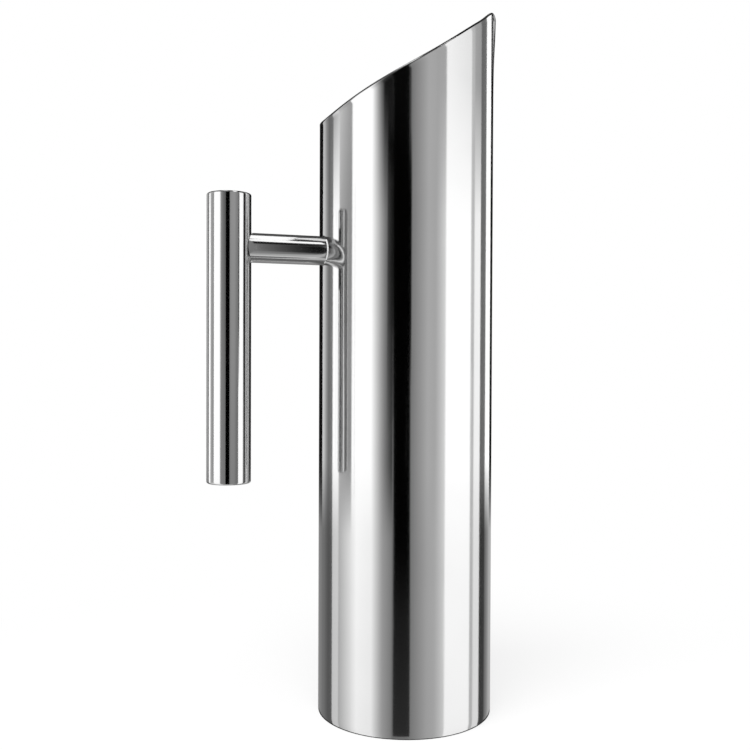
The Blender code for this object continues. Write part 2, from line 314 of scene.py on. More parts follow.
# Card under the table, with two grey patches that the stem's underside mirrors
UNDER_TONE = 0.74
UNDER_PATCHES = (((-0.25, -0.05), (0.15, 0.25)), ((0.0, -0.19), (0.15, -0.05)))
UNDER_PATCH_TONE = 0.40
# Facets of what goes all round the body's axis
AROUND = 48

# Dark flag at the camera: from bottom to top its heights, tones and the azimuths of its two edges
CAMERA_FLAG_DISTANCE = 0.46
CAMERA_FLAG_ROWS = (
    (-0.20, 0.20, (-34.6, -13.9)),
    (-0.06, 0.12, (-34.6, -13.9)),
    (0.02, 0.03, (-34.6, -14.3)),
    (0.26, 0.01, (-35.9, -15.0)),
    (0.40, 0.05, (-36.2, -15.0)),
    (0.55, 0.06, (-36.2, -15.0)),
)

# Strip light behind, which the pour lip mirrors: azimuths of its edges, and its heights with their tones
LIP_STRIP_EDGES = (135.0, 138.4)
LIP_STRIP_ROWS = ((0.495, 0.25), (0.525, 0.64), (0.60, 0.64))

# Black net before the stem, which dims what the stem mirrors there. It stands where the body mirrors it
# on the dark flag at the camera, so that it doesn't show twice. Its two edges each have a place and,
# upwards, heights from the stem's axis, all in millimetres, and how light white looks through it
STEM_NET_EDGES = (
    (-62.2, -76.4, ((-92, 1.00), (-36, 0.76), (-6, 0.66), (38, 0.68), (60, 0.32), (72, 0.70), (90, 1.00))),
    (-21.0, -75.2, ((-66, 1.00), (-50, 0.60), (-28, 0.07), (20, 0.04), (34, 0.28), (46, 0.62), (62, 1.00))),
)

# Level dark flag high over the mouth, which keeps the soft boxes out of the rim, given by two corners
RIM_FLAG = ((-0.014, -0.095), (0.080, 0.010))
RIM_FLAG_HEIGHT = 0.40
RIM_FLAG_TONE = 0.04

# Fill cards behind the gap between grip and wall, which lighten the grip's image in the wall. They
# leave a gap above and below the stem, which would mirror them too
GRIP_FILL_ENDS = ((-79.5 * MM, 10.5 * MM), (-73.5 * MM, 10.5 * MM))
GRIP_FILL_GAP = 9.0 * MM
GRIP_FILL_TONE = 0.96

# Card close before the grip, which the body sees edge-on and so doesn't mirror: places along X, and the
# tones at its foot and its top
GRIP_CARD_Y = -24.5 * MM
GRIP_CARD_MARGIN = 14.0 * MM
GRIP_CARD_COLUMNS = (
    (-115.6 * MM, 0.52, 0.58),
    (-111.7 * MM, 0.49, 0.54),
    (-104.5 * MM, 0.475, 0.41),
    (-98.6 * MM, 0.46, 0.33),
    (-98.5 * MM, 0.01, 0.01),
    (-90.9 * MM, 0.01, 0.02),
    (-90.8 * MM, 0.44, 0.52),
    (-87.8 * MM, 0.49, 0.55),
    (-82.3 * MM, 0.48, 0.56),
    (-78.0 * MM, 0.41, 0.50),
    (-73.1 * MM, 0.45, 0.45),
)

# Dark disc under the foot, a little wider than the body
FOOT_SHADE_RADIUS = BODY_RADIUS + 0.8 * MM

FLOOR_REACH = 20.0
LAMP_PLACE = (-0.5, -0.6, 1.4)
LAMP_SIZE = 1.2
SENSOR_WIDTH = 36.0
CLIP_START = 0.01
# A tone is how light a thing looks on a screen, and to this power it is the light itself
SCREEN_POWER = 2.2
WHITE = (1.0, 1.0, 1.0, 1.0)


def plug(tree, socket, value):
    """Link a socket to another one, or give it a plain value."""
    if isinstance(value, bpy.types.NodeSocket):
        tree.links.new(value, socket)
    else:
        socket.default_value = value


def add(tree, kind, inputs=None, **options):
    """New node with its options chosen and its inputs linked or set."""
    node = tree.nodes.new(kind)
    for key, value in options.items():
        setattr(node, key, value)
    for key, value in (inputs or {}).items():
        plug(tree, node.inputs[key], value)
    return node


def calc(tree, operation, *values, clamp=False):
    """Result of one math node."""
    node = add(tree, "ShaderNodeMath", operation=operation, use_clamp=clamp)
    for socket, value in zip(node.inputs, values):
        plug(tree, socket, value)
    return node.outputs[0]


def new_group(name, kind, sockets):
    """Node group with its sockets, each given as (name, direction, socket type, default)."""
    tree = bpy.data.node_groups.new(name, kind)
    for label, direction, socket_type, default in sockets:
        socket = tree.interface.new_socket(name=label, in_out=direction, socket_type=socket_type)
        if default is not None:
            socket.default_value = default
    return tree


def one_group(name, maker):
    """Node group that is built once and then shared."""
    return bpy.data.node_groups.get(name) or maker()


FLOAT = "NodeSocketFloat"
VECTOR = "NodeSocketVector"
GEOMETRY = "NodeSocketGeometry"
MATERIAL = "NodeSocketMaterial"
# Marks on the rows of a section. Above the limit, the inside's mark gives a face the inside's finish
MARKS = ("inside", "edge")
INSIDE_LIMIT = 0.6
# Inputs that shape the mouth and the lip, with the values that leave a plain turned piece
SHAPE_INPUTS = {
    "Rise": 0.0,
    "Shoulder": 0.0,
    "Corner Lift": 0.0,
    "Rim Zone": 0.0,
    "Lip Reach": 0.0,
    "Front Height": 1.0,
    "Outer Radius": 1.0,
    "Lip Height": 1.0,
    "Lip Half Angle": 1.0,
    "Corner Angle": 1.0,
}


def hump(tree, share):
    """Smooth hump, 1 where a share is 0 and 0 where it is 1."""
    quarter_turn = calc(tree, "MULTIPLY", share, math.pi / 2)
    return calc(tree, "POWER", calc(tree, "COSINE", quarter_turn), 2)


def rim_level(tree, given, angle, forward, aside):
    """Height of the rim from its front: the slant, the shoulders and the lip's drawn-up corners."""
    slant = calc(tree, "MULTIPLY", given["Rise"], calc(tree, "SUBTRACT", forward, 1))
    quarter = calc(tree, "POWER", calc(tree, "SINE", calc(tree, "MULTIPLY", angle, 2)), 2)
    shoulder = calc(tree, "MULTIPLY", given["Shoulder"], quarter)
    from_corner = calc(tree, "ABSOLUTE", calc(tree, "SUBTRACT", aside, given["Corner Angle"]))
    from_corner = calc(tree, "DIVIDE", from_corner, CORNER_HALF_ANGLE, clamp=True)
    raised = calc(tree, "MULTIPLY_ADD", given["Corner Lift"], hump(tree, from_corner), shoulder)
    return calc(tree, "MULTIPLY_ADD", slant, 0.5, raised)


def lip_swell(tree, given, aside, below):
    """Share of the lip's reach, at an angle from its middle and a depth below the rim."""
    rise = calc(tree, "SUBTRACT", 1, calc(tree, "DIVIDE", below, given["Lip Height"]), clamp=True)
    swell = calc(tree, "MULTIPLY", calc(tree, "POWER", rise, 2), calc(tree, "MULTIPLY_ADD", rise, -2, 3))
    across = calc(tree, "DIVIDE", aside, given["Lip Half Angle"], clamp=True)
    return calc(tree, "MULTIPLY", hump(tree, across), swell)


def turning_tree():
    """Geometry nodes that turn a wall's section round Z, slant its mouth and press its lip.

    The geometry that comes in is the section: points in order, with r on X. A grid has one row for
    each point of it and one column for each facet, and every corner is then put in its place.
    """
    sockets = [
        ("Geometry", "INPUT", GEOMETRY, None),
        ("Segments", "INPUT", "NodeSocketInt", FIXING_SEGMENTS),
    ]
    sockets += [(name, "INPUT", FLOAT, value) for name, value in SHAPE_INPUTS.items()]
    sockets += [
        ("Outside", "INPUT", MATERIAL, None),
        ("Inside", "INPUT", MATERIAL, None),
        ("Geometry", "OUTPUT", GEOMETRY, None),
    ]
    tree = new_group("Turned Steel", "GeometryNodeTree", sockets)
    given = add(tree, "NodeGroupInput").outputs
    section = given["Geometry"]
    columns = calc(tree, "ADD", given["Segments"], 1)
    rows = add(tree, "GeometryNodeAttributeDomainSize", {"Geometry": section}).outputs["Point Count"]
    grid = add(tree, "GeometryNodeMeshGrid", {"Vertices X": rows, "Vertices Y": columns})
    index = add(tree, "GeometryNodeInputIndex").outputs[0]
    row = calc(tree, "FLOOR", calc(tree, "DIVIDE", index, columns))
    column = calc(tree, "SUBTRACT", index, calc(tree, "MULTIPLY", row, columns))
    angle = calc(tree, "MULTIPLY", calc(tree, "DIVIDE", column, given["Segments"]), math.tau)

    def at_row(value, data_type):
        """Value that the section has at this corner's row."""
        inputs = {"Geometry": section, "Value": value, "Index": row}
        return add(tree, "GeometryNodeSampleIndex", inputs, data_type=data_type).outputs[0]

    def marked(name):
        """Mark that a section's rows carry."""
        mark = add(tree, "GeometryNodeInputNamedAttribute", {"Name": name}, data_type="FLOAT")
        return mark.outputs["Attribute"]

    place = add(tree, "GeometryNodeInputPosition").outputs[0]
    point = add(tree, "ShaderNodeSeparateXYZ", {0: at_row(place, "FLOAT_VECTOR")}).outputs
    radius = point["X"]
    height = point["Z"]

    forward = calc(tree, "COSINE", angle)
    aside = calc(tree, "MINIMUM", angle, calc(tree, "SUBTRACT", math.tau, angle))
    drop = rim_level(tree, given, angle, forward, aside)
    level = calc(tree, "SUBTRACT", given["Front Height"], given["Rim Zone"])
    share = calc(tree, "DIVIDE", height, level, clamp=True)
    height = calc(tree, "MULTIPLY_ADD", drop, share, height)
    rim = calc(tree, "ADD", given["Front Height"], drop)
    swell = lip_swell(tree, given, aside, calc(tree, "SUBTRACT", rim, height))

    inwards = calc(tree, "SUBTRACT", calc(tree, "DIVIDE", radius, given["Outer Radius"]), 1)
    lean = calc(tree, "MULTIPLY", calc(tree, "MULTIPLY", forward, inwards), given["Rise"])
    lean = calc(tree, "MULTIPLY", calc(tree, "MULTIPLY", lean, 0.5), share)
    radius = calc(tree, "MULTIPLY_ADD", given["Lip Reach"], swell, radius)
    corner = {
        "X": calc(tree, "MULTIPLY", radius, forward),
        "Y": calc(tree, "MULTIPLY", radius, calc(tree, "SINE", angle)),
        "Z": calc(tree, "ADD", height, lean),
    }
    position = add(tree, "ShaderNodeCombineXYZ", corner).outputs[0]

    made = grid.outputs["Mesh"]
    for name in MARKS:
        inputs = {"Geometry": made, "Name": name, "Value": at_row(marked(name), "FLOAT")}
        made = add(tree, "GeometryNodeStoreNamedAttribute", inputs, data_type="FLOAT").outputs["Geometry"]
    made = add(tree, "GeometryNodeSetPosition", {"Geometry": made, "Position": position}).outputs[0]
    inputs = {"Geometry": made, "Distance": WELD_DISTANCE}
    made = add(tree, "GeometryNodeMergeByDistance", inputs).outputs[0]
    made = add(tree, "GeometryNodeRealizeInstances", {"Geometry": made}).outputs[0]
    within = add(tree, "FunctionNodeCompare", {0: marked("inside"), 1: INSIDE_LIMIT}).outputs[0]
    for label, chosen in {"Outside": True, "Inside": within}.items():
        inputs = {"Geometry": made, "Selection": chosen, "Material": given[label]}
        made = add(tree, "GeometryNodeSetMaterial", inputs).outputs[0]
    add(tree, "NodeGroupOutput", {"Geometry": made})
    return tree


def between(ends, share):
    """Value at a share of the way from one end to the other."""
    return ends[0] + (ends[1] - ends[0]) * share


def bend(radius, height, size, start, end, steps, inside=0.0):
    """Rows on a round of a section, from one angle in degrees to another."""
    rows = []
    for step in range(steps + 1):
        angle = math.radians(between((start, end), step / steps))
        edge = min(1.0, max(0.0, (abs(math.sin(angle)) - DARK_EDGE_START) / DARK_EDGE_BLEND))
        rows.append(Row(radius + size * math.cos(angle), height + size * math.sin(angle), inside, edge))
    return rows


def straight(radius, start, end, count, inside=0.0):
    """Rows along a straight upright wall, its two ends among them."""
    return [Row(radius, between((start, end), step / count), inside) for step in range(count + 1)]


def flat(height, start, end, inside=0.0):
    """Two rows along a flat face."""
    return [Row(start, height, inside), Row(end, height, inside)]


def new_object(name, data):
    """Object that is put into the scene."""
    piece = bpy.data.objects.new(name, data)
    bpy.context.scene.collection.objects.link(piece)
    return piece


def mesh_from(bm, name):
    """Plain mesh of what was built, which is then let go."""
    mesh = bpy.data.meshes.new(name)
    bm.to_mesh(mesh)
    bm.free()
    return mesh


def apply(piece, modifier):
    """Give a piece the plain mesh that its modifier makes of it, and remove the modifier."""
    before = piece.data
    graph = bpy.context.evaluated_depsgraph_get()
    mesh = bpy.data.meshes.new_from_object(piece.evaluated_get(graph), depsgraph=graph)
    piece.modifiers.remove(modifier)
    piece.data = mesh
    bpy.data.meshes.remove(before)


def smooth(mesh):
    """Faces turned outwards, round sides shaded smooth and true edges kept sharp."""
    bm = bmesh.new()
    bm.from_mesh(mesh)
    bmesh.ops.recalc_face_normals(bm, faces=bm.faces)
    bm.to_mesh(mesh)
    bm.free()
    mesh.shade_smooth()
    mesh.set_sharp_from_angle(angle=SMOOTH_ANGLE)


def turn(name, rows, segments, outside, inside=None, **sizes):
    """Piece turned round Z from the rows of its section, as a plain mesh."""
    section = bpy.data.meshes.new(name + "_section")
    section.from_pydata([(row.radius, 0.0, row.height) for row in rows], [], [])
    for label in MARKS:
        mark = section.attributes.new(label, "FLOAT", "POINT")
        mark.data.foreach_set("value", [getattr(row, label) for row in rows])
    piece = new_object(name, section)

    tree = one_group("Turned Steel", turning_tree)
    sockets = {item.name: item.identifier for item in tree.interface.items_tree if item.in_out == "INPUT"}
    turning = piece.modifiers.new("Turning", "NODES")
    turning.node_group = tree
    values = {"Segments": segments, **SHAPE_INPUTS, "Outside": outside, "Inside": inside or outside}
    values.update({label.replace("_", " ").title(): size for label, size in sizes.items()})
    for label, value in values.items():
        turning[sockets[label]] = value
    apply(piece, turning)
    smooth(piece.data)
    return piece


def ring(name, section, segments, material):
    """Ring whose section, a loop of points, is given for each angle round it, as a plain mesh."""
    bm = bmesh.new()
    loops = []
    for step in range(segments):
        loops.append([bm.verts.new(point) for point in section(math.tau * step / segments)])
    for loop, following in zip(loops, loops[1:] + loops[:1]):
        for index in range(len(loop)):
            before = index - 1
            bm.faces.new((loop[before], loop[index], following[index], following[before]))
    mesh = mesh_from(bm, name)
    mesh.materials.append(material)
    smooth(mesh)
    return new_object(name, mesh)


def seat(piece, node):
    """Let a finished piece stand for a packed one."""
    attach(piece, "root")
    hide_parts(node)


def effect_group(name, result, **inputs):
    """Shader group with a place, the inputs given and one result. An input of None is a vector."""
    sockets = [("Vector", "INPUT", VECTOR, None)]
    for label, default in inputs.items():
        sockets.append((label, "INPUT", VECTOR if default is None else FLOAT, default))
    sockets.append((result, "OUTPUT", FLOAT, None))
    tree = new_group(name, "ShaderNodeTree", sockets)
    return tree, add(tree, "NodeGroupInput").outputs


def noise_between(tree, vector, scale, detail, low, high):
    """Noise that goes from 0 to 1 between two of its levels."""
    noise = add(tree, "ShaderNodeTexNoise", {"Vector": vector, "Scale": scale, "Detail": detail})
    spread = {"Value": noise.outputs[0], "From Min": low, "From Max": high}
    return add(tree, "ShaderNodeMapRange", spread).outputs[0]


def cloud_group():
    """Soft patches that a polishing mop leaves."""
    tree, given = effect_group("Polish Cloud", "Cloud", Scale=40.0)
    cloud = noise_between(tree, given["Vector"], given["Scale"], detail=3.0, low=0.35, high=0.68)
    add(tree, "NodeGroupOutput", {"Cloud": cloud})
    return tree


# Turn of each lay of scratches, and how far its noise is drawn out
SCRATCH_LAYS = (((0.4, 0.2, 0.7), 0.02), ((-0.6, 0.5, -0.3), 0.03))


def scratch_group():
    """Fine straight scratches that lie in two directions."""
    tree, given = effect_group("Fine Scratches", "Scratches", Scale=300.0)
    layers = []
    for turned, stretch in SCRATCH_LAYS:
        lay = {"Vector": given["Vector"], "Rotation": turned, "Scale": (1.0, 1.0, stretch)}
        laid = add(tree, "ShaderNodeMapping", lay).outputs[0]
        layers.append(noise_between(tree, laid, given["Scale"], detail=2.0, low=0.66, high=0.74))
    add(tree, "NodeGroupOutput", {"Scratches": calc(tree, "MAXIMUM", *layers)})
    return tree


def grain_group():
    """Fine lines of drawing, brushing or turning: noise that is stretched along the lines."""
    tree, given = effect_group("Drawn Grain", "Grain", Stretch=None, Scale=800.0)
    laid = add(tree, "ShaderNodeVectorMath", {0: given["Vector"], 1: given["Stretch"]}, operation="MULTIPLY")
    inputs = {"Vector": laid.outputs[0], "Scale": given["Scale"], "Detail": 4.0}
    add(tree, "NodeGroupOutput", {"Grain": add(tree, "ShaderNodeTexNoise", inputs).outputs[0]})
    return tree


def wear_group():
    """Dull patches along edges that hands and tables touch."""
    tree, given = effect_group("Edge Wear", "Wear", Edge=0.0)
    patch = noise_between(tree, given["Vector"], scale=220.0, detail=4.0, low=0.42, high=0.70)
    add(tree, "NodeGroupOutput", {"Wear": calc(tree, "MULTIPLY", patch, given["Edge"])})
    return tree


EFFECTS = {
    "Polish Cloud": cloud_group,
    "Fine Scratches": scratch_group,
    "Drawn Grain": grain_group,
    "Edge Wear": wear_group,
}


def effect(tree, name, **inputs):
    """Shared effect placed in a material, with this material's values."""
    return add(tree, "ShaderNodeGroup", inputs, node_tree=one_group(name, EFFECTS[name])).outputs[0]


def new_material(name, colour, metallic):
    """Material with a Principled shader, its tree and the piece's own coordinates."""
    material = bpy.data.materials.new(name)
    material.use_nodes = True
    tree = material.node_tree
    shader = tree.nodes["Principled BSDF"]
    shader.inputs["Base Color"].default_value = (*colour, 1.0)
    shader.inputs["Metallic"].default_value = metallic
    where = add(tree, "ShaderNodeTexCoord").outputs["Object"]
    return material, tree, shader, where


def mixed(tree, share, first, second):
    """Colour between two others."""
    return add(tree, "ShaderNodeMix", {0: share, 6: first, 7: second}, data_type="RGBA").outputs[2]


def tinted(tree, colour, amount, low, high):
    """Colour that shifts between two shares of itself."""
    ends = [(*(min(channel * share, 1.0) for channel in colour), 1.0) for share in (low, high)]
    return mixed(tree, amount, *ends)


def roughen(tree, start, *shares):
    """Roughness that starts from a plain value and gains a share of each mask."""
    total = start
    for mask, share in shares:
        total = calc(tree, "MULTIPLY_ADD", mask, share, total)
    return total


def dress(tree, shader, colour, rough, relief, depth):
    """Give a shader its colour, its roughness and a bump of a real depth, in metres."""
    bump = add(tree, "ShaderNodeBump", {"Height": relief, "Distance": depth, "Strength": 1.0})
    plug(tree, shader.inputs["Base Color"], colour)
    plug(tree, shader.inputs["Roughness"], rough)
    plug(tree, shader.inputs["Normal"], bump.outputs[0])


def polished_steel(name, finish):
    """Mirror-polished steel: faint mop clouds, hairline scratches, dulled dark edges, painted shade at the
    foot.
    """
    material, tree, shader, where = new_material(name, finish.polished, metallic=1.0)
    cloud = effect(tree, "Polish Cloud", Vector=where, Scale=35.0)
    scratch = effect(tree, "Fine Scratches", Vector=where, Scale=420.0)
    grain = effect(tree, "Drawn Grain", Vector=where, Stretch=(1.0, 1.0, 0.02), Scale=900.0)
    edge = add(tree, "ShaderNodeAttribute", attribute_name="edge").outputs["Fac"]
    wear = effect(tree, "Edge Wear", Vector=where, Edge=edge)
    bright = tinted(tree, finish.polished, cloud, low=0.985, high=1.01)
    # The edge mark gives rounds the dark edge colour, which is painted shade on the foot's underside
    colour = mixed(tree, edge, bright, (*finish.ground_and_shade, 1.0))
    dulled = ((cloud, 0.02), (scratch, 0.04), (edge, 0.16), (wear, 0.10))
    rough = roughen(tree, finish.mirror_roughness, *dulled)
    lines = calc(tree, "MULTIPLY_ADD", scratch, -0.4, grain)
    dress(tree, shader, colour, rough, lines, 0.015 * MICRON)
    return material


def satin_steel(name, finish):
    """Steel inside the vessel: brushed round the wall, with faint clouds."""
    material, tree, shader, where = new_material(name, finish.satin, metallic=1.0)
    cloud = effect(tree, "Polish Cloud", Vector=where, Scale=22.0)
    grain = effect(tree, "Drawn Grain", Vector=where, Stretch=(0.03, 0.03, 1.0), Scale=1500.0)
    scratch = effect(tree, "Fine Scratches", Vector=where, Scale=260.0)
    colour = tinted(tree, finish.satin, cloud, low=0.95, high=1.03)
    rough = roughen(tree, finish.satin_roughness, (cloud, 0.05), (grain, 0.12), (scratch, 0.06))
    dress(tree, shader, colour, rough, grain, 2.0 * MICRON)
    return material


def ringed_steel(name, colour, centre, axis, roughness, depth):
    """Steel with the rings of spinning or turning round an axis."""
    material, tree, shader, where = new_material(name, colour, metallic=1.0)
    centred = add(tree, "ShaderNodeMapping", {"Vector": where, "Location": tuple(-x for x in centre)})
    across = tuple(0.0 if letter == axis else 1.0 for letter in "XYZ")
    level = add(tree, "ShaderNodeVectorMath", {0: centred.outputs[0], 1: across}, operation="MULTIPLY")
    reach = add(tree, "ShaderNodeVectorMath", {0: level.outputs[0]}, operation="LENGTH")
    inputs = {"W": reach.outputs["Value"], "Scale": 2600.0, "Detail": 3.0}
    rings = add(tree, "ShaderNodeTexNoise", inputs, noise_dimensions="1D").outputs[0]
    cloud = effect(tree, "Polish Cloud", Vector=where, Scale=60.0)
    scratch = effect(tree, "Fine Scratches", Vector=where, Scale=300.0)
    rough = roughen(tree, roughness, (rings, 0.12), (cloud, 0.05), (scratch, 0.06))
    dress(tree, shader, tinted(tree, colour, cloud, low=0.94, high=1.04), rough, rings, depth)
    return material


def weld_steel(name, finish):
    """Dressed weld with a painted highlight: near-white and matt, with small ripples."""
    material, tree, shader, where = new_material(name, finish.weld, metallic=0.35)
    grain = effect(tree, "Drawn Grain", Vector=where, Stretch=(1.0, 1.0, 1.0), Scale=2500.0)
    cloud = effect(tree, "Polish Cloud", Vector=where, Scale=300.0)
    colour = tinted(tree, finish.weld, cloud, low=0.96, high=1.02)
    dress(tree, shader, colour, roughen(tree, WELD_ROUGHNESS, (grain, 0.1)), grain, 4.0 * MICRON)
    return material


def silicone(name, finish):
    """Matt seal rubber with a fine moulded skin."""
    material, tree, shader, where = new_material(name, finish.silicone, metallic=0.0)
    cloud = effect(tree, "Polish Cloud", Vector=where, Scale=180.0)
    grain = effect(tree, "Drawn Grain", Vector=where, Stretch=(1.0, 1.0, 1.0), Scale=3000.0)
    colour = tinted(tree, finish.silicone, cloud, low=0.93, high=1.04)
    dress(tree, shader, colour, roughen(tree, SEAL_ROUGHNESS, (grain, 0.2)), grain, 10.0 * MICRON)
    return material


def one_material(name, maker, *values):
    """Material that is built once and then shared."""
    return bpy.data.materials.get(name) or maker(name, *values)


def settings(context):
    """Sizes and finishes as they are set in the scene."""
    return context.scene.pitcher_sizes, context.scene.pitcher_finish


class PITCHER_OT_body(bpy.types.Operator):
    """Make the polished body tube with its slanted mouth and pour lip"""

    bl_idname = "pitcher.make_body"
    bl_label = "Body Tube"

    def execute(self, context):
        sizes, finish = settings(context)
        top = MOUTH_FRONT - HAIRLINE
        piece = turn(
            "body_tube",
            self.section(sizes, top),
            BODY_SEGMENTS,
            one_material("polished_steel", polished_steel, finish),
            one_material("satin_steel", satin_steel, finish),
            front_height=top,
            outer_radius=BODY_RADIUS,
            rise=MOUTH_RISE,
            shoulder=sizes.shoulder,
            rim_zone=sizes.rim_round + sizes.rim_flare_height + GUARD,
            lip_reach=LIP_REACH,
            lip_height=sizes.lip_height,
            lip_half_angle=sizes.lip_half_angle,
            corner_lift=sizes.corner_lift,
            corner_angle=sizes.corner_angle,
        )
        seat(piece, "body_shell")
        return {"FINISHED"}

    def section(self, sizes, top):
        """Rows from the foot up the outside, over the rim and down the inside, back to the first."""
        outer = BODY_RADIUS - sizes.rim_flare
        bore = BODY_RADIUS - sizes.wall
        lip_foot = top - sizes.lip_height
        flare_top = top - sizes.rim_round
        flare_foot = flare_top - sizes.rim_flare_height
        foot = sizes.foot_round
        # The foot round's underside takes the dark edge colour, painted shade where the foot meets the floor
        rows = bend(outer - sizes.foot_ease - foot, foot, foot, -90, -10, ROUND_STEPS)
        for step in range(EASE_STEPS + 1):
            share = step / EASE_STEPS
            ease = sizes.foot_ease * (1 - share) ** EASE_POWER
            rows.append(Row(outer - ease, foot + sizes.foot_ease_height * share))
        rows += straight(outer, foot + sizes.foot_ease_height + GUARD, lip_foot, PLAIN_ROWS)
        rows += straight(outer, lip_foot, flare_foot, LIP_ROWS)[1:]
        for step in range(1, FLARE_STEPS + 1):
            share = step / FLARE_STEPS
            height = flare_foot + sizes.rim_flare_height * share
            rows.append(Row(outer + sizes.rim_flare * share ** FLARE_POWER, height))
        rows += bend(BODY_RADIUS - sizes.rim_round, flare_top, sizes.rim_round, 0, 90, ROUND_STEPS)[1:]
        inner = sizes.rim_inner_round
        rows += bend(bore + inner, top - inner, inner, 90, 180, SMALL_ROUND_STEPS, 1.0)
        rows += straight(bore, top - inner - GUARD, lip_foot, LIP_ROWS, 1.0)
        rows += straight(bore, lip_foot, BODY_LOW.z, PLAIN_ROWS, 1.0)[1:]
        rows.append(rows[0])
        return rows


def dish_rows(radius, thickness, depth, bend_size):
    """Section of a sheet pressed into a dish, with its underside at height 0."""
    edge = thickness * SHEET_EDGE_SHARE
    rows = flat(0.0, 0.0, radius - bend_size - GUARD)
    rows += bend(radius - bend_size, bend_size, bend_size, -90, 0, ROUND_STEPS)
    rows += bend(radius - edge, depth - edge, edge, 0, 90, SMALL_ROUND_STEPS)
    rows += bend(radius - thickness + edge, depth - edge, edge, 90, 180, SMALL_ROUND_STEPS, 1.0)
    rows += bend(radius - bend_size, bend_size, bend_size - thickness, 0, -90, ROUND_STEPS, 1.0)
    rows += flat(thickness, radius - bend_size - GUARD, 0.0, 1.0)
    return rows


class PITCHER_OT_bottom(bpy.types.Operator):
    """Make the pressed bottom of the vessel"""

    bl_idname = "pitcher.make_bottom"
    bl_label = "Bottom"

    def execute(self, context):
        sizes, finish = settings(context)
        radius = BODY_RADIUS - sizes.wall - HAIRLINE
        rows = dish_rows(radius, sizes.dish_thickness, DISH_HIGH.z - DISH_LOW.z, sizes.dish_bend)
        spun = one_material("spun_steel", ringed_steel, finish.satin, (0.0, 0.0, 0.0), *SPUN_RINGS)
        piece = turn("bottom_dish", rows, BODY_SEGMENTS, spun)
        seat(piece, "base_dish")
        return {"FINISHED"}


def saddle(radius, across):
    """Distance from a tube's axis to its surface, at a distance across from its middle line."""
    return math.sqrt(radius * radius - across * across)


class PITCHER_OT_stem(bpy.types.Operator):
    """Make the stem that holds the grip off the wall"""

    bl_idname = "pitcher.make_stem"
    bl_label = "Stem"

    def execute(self, context):
        sizes, finish = settings(context)
        bore = sizes.screw_diameter / 2 + HAIRLINE
        size = sizes.stem_fillet

        def point(radius, angle, at_grip, setback):
            """Point at the wall's or the grip's end of the stem, set back along it."""
            across = radius * math.cos(angle)
            if at_grip:
                reach = -GRIP_X - saddle(GRIP_RADIUS + HAIRLINE, across) - setback
            else:
                reach = saddle(BODY_RADIUS - sizes.rim_flare + HAIRLINE, across) + setback
            return (-reach, across, STEM_HEIGHT + radius * math.sin(angle))

        def section(angle):
            """Loop over the wall's end with its fillet, along the bar and over the grip's end."""
            outwards, along = FILLET_MIDDLE
            return [
                point(bore, angle, False, 0.0),
                point(STEM_RADIUS + size, angle, False, 0.0),
                point(STEM_RADIUS + size * outwards, angle, False, size * along),
                point(STEM_RADIUS, angle, False, size),
                point(STEM_RADIUS, angle, False, size + GUARD),
                point(STEM_RADIUS, angle, True, 0.0),
                point(bore, angle, True, 0.0),
            ]

        steel = one_material("polished_steel", polished_steel, finish)
        piece = ring("stem_bar", section, STEM_SEGMENTS, steel)
        piece.data.materials.append(one_material("weld_steel", weld_steel, finish))
        # Fillet faces near the stem's axis height take the weld's painted highlight
        for face in piece.data.polygons:
            middle = face.center - Vector((0.0, 0.0, STEM_HEIGHT))
            standing_out = math.hypot(middle.y, middle.z) > STEM_RADIUS + HAIRLINE
            if standing_out and abs(middle.z) < STEM_RADIUS * WELD_HIGHLIGHT_REACH:
                face.material_index = 1
        seat(piece, "handle_stem")
        return {"FINISHED"}


class PITCHER_OT_grip(bpy.types.Operator):
    """Make the grip tube and its two end caps"""

    bl_idname = "pitcher.make_grip"
    bl_label = "Grip"

    def execute(self, context):
        sizes, finish = settings(context)
        steel = one_material("polished_steel", polished_steel, finish)
        satin = one_material("satin_steel", satin_steel, finish)
        low = GRIP_LOW.z
        high = GRIP_HIGH.z
        size = sizes.grip_round
        bore = GRIP_RADIUS - sizes.grip_wall
        rows = bend(GRIP_RADIUS - size, low + size, size, -90, 0, ROUND_STEPS)
        rows += straight(GRIP_RADIUS, low + size + GUARD, high - size - GUARD, PLAIN_ROWS)
        rows += bend(GRIP_RADIUS - size, high - size, size, 0, 90, ROUND_STEPS)
        rows += straight(bore, high, low, PLAIN_ROWS, 1.0)
        rows.append(rows[0])
        tube = turn("grip_bar", rows, GRIP_SEGMENTS, steel, satin)
        tube.data.transform(Matrix.Translation((GRIP_X, 0.0, 0.0)))
        seat(tube, "grip_tube")

        faced = one_material("faced_steel", ringed_steel, finish.polished, (GRIP_X, 0.0, 0.0), *FACED_RINGS)
        sheet_bend = sizes.cap_thickness * CAP_BEND_SHARE
        rows = dish_rows(bore - HAIRLINE, sizes.cap_thickness, CAP_HIGH.z - CAP_LOW.z, sheet_bend)
        upside_down = Matrix.Rotation(math.pi, 4, "X")
        ends = {
            "grip_end_top": ("grip_cap_top", Matrix.Translation((GRIP_X, 0.0, high)) @ upside_down),
            "grip_end_bottom": ("grip_cap_bottom", Matrix.Translation((GRIP_X, 0.0, low))),
        }
        for name, (node, place) in ends.items():
            cap = turn(name, rows, GRIP_SEGMENTS, faced)
            cap.data.transform(place)
            seat(cap, node)
        return {"FINISHED"}


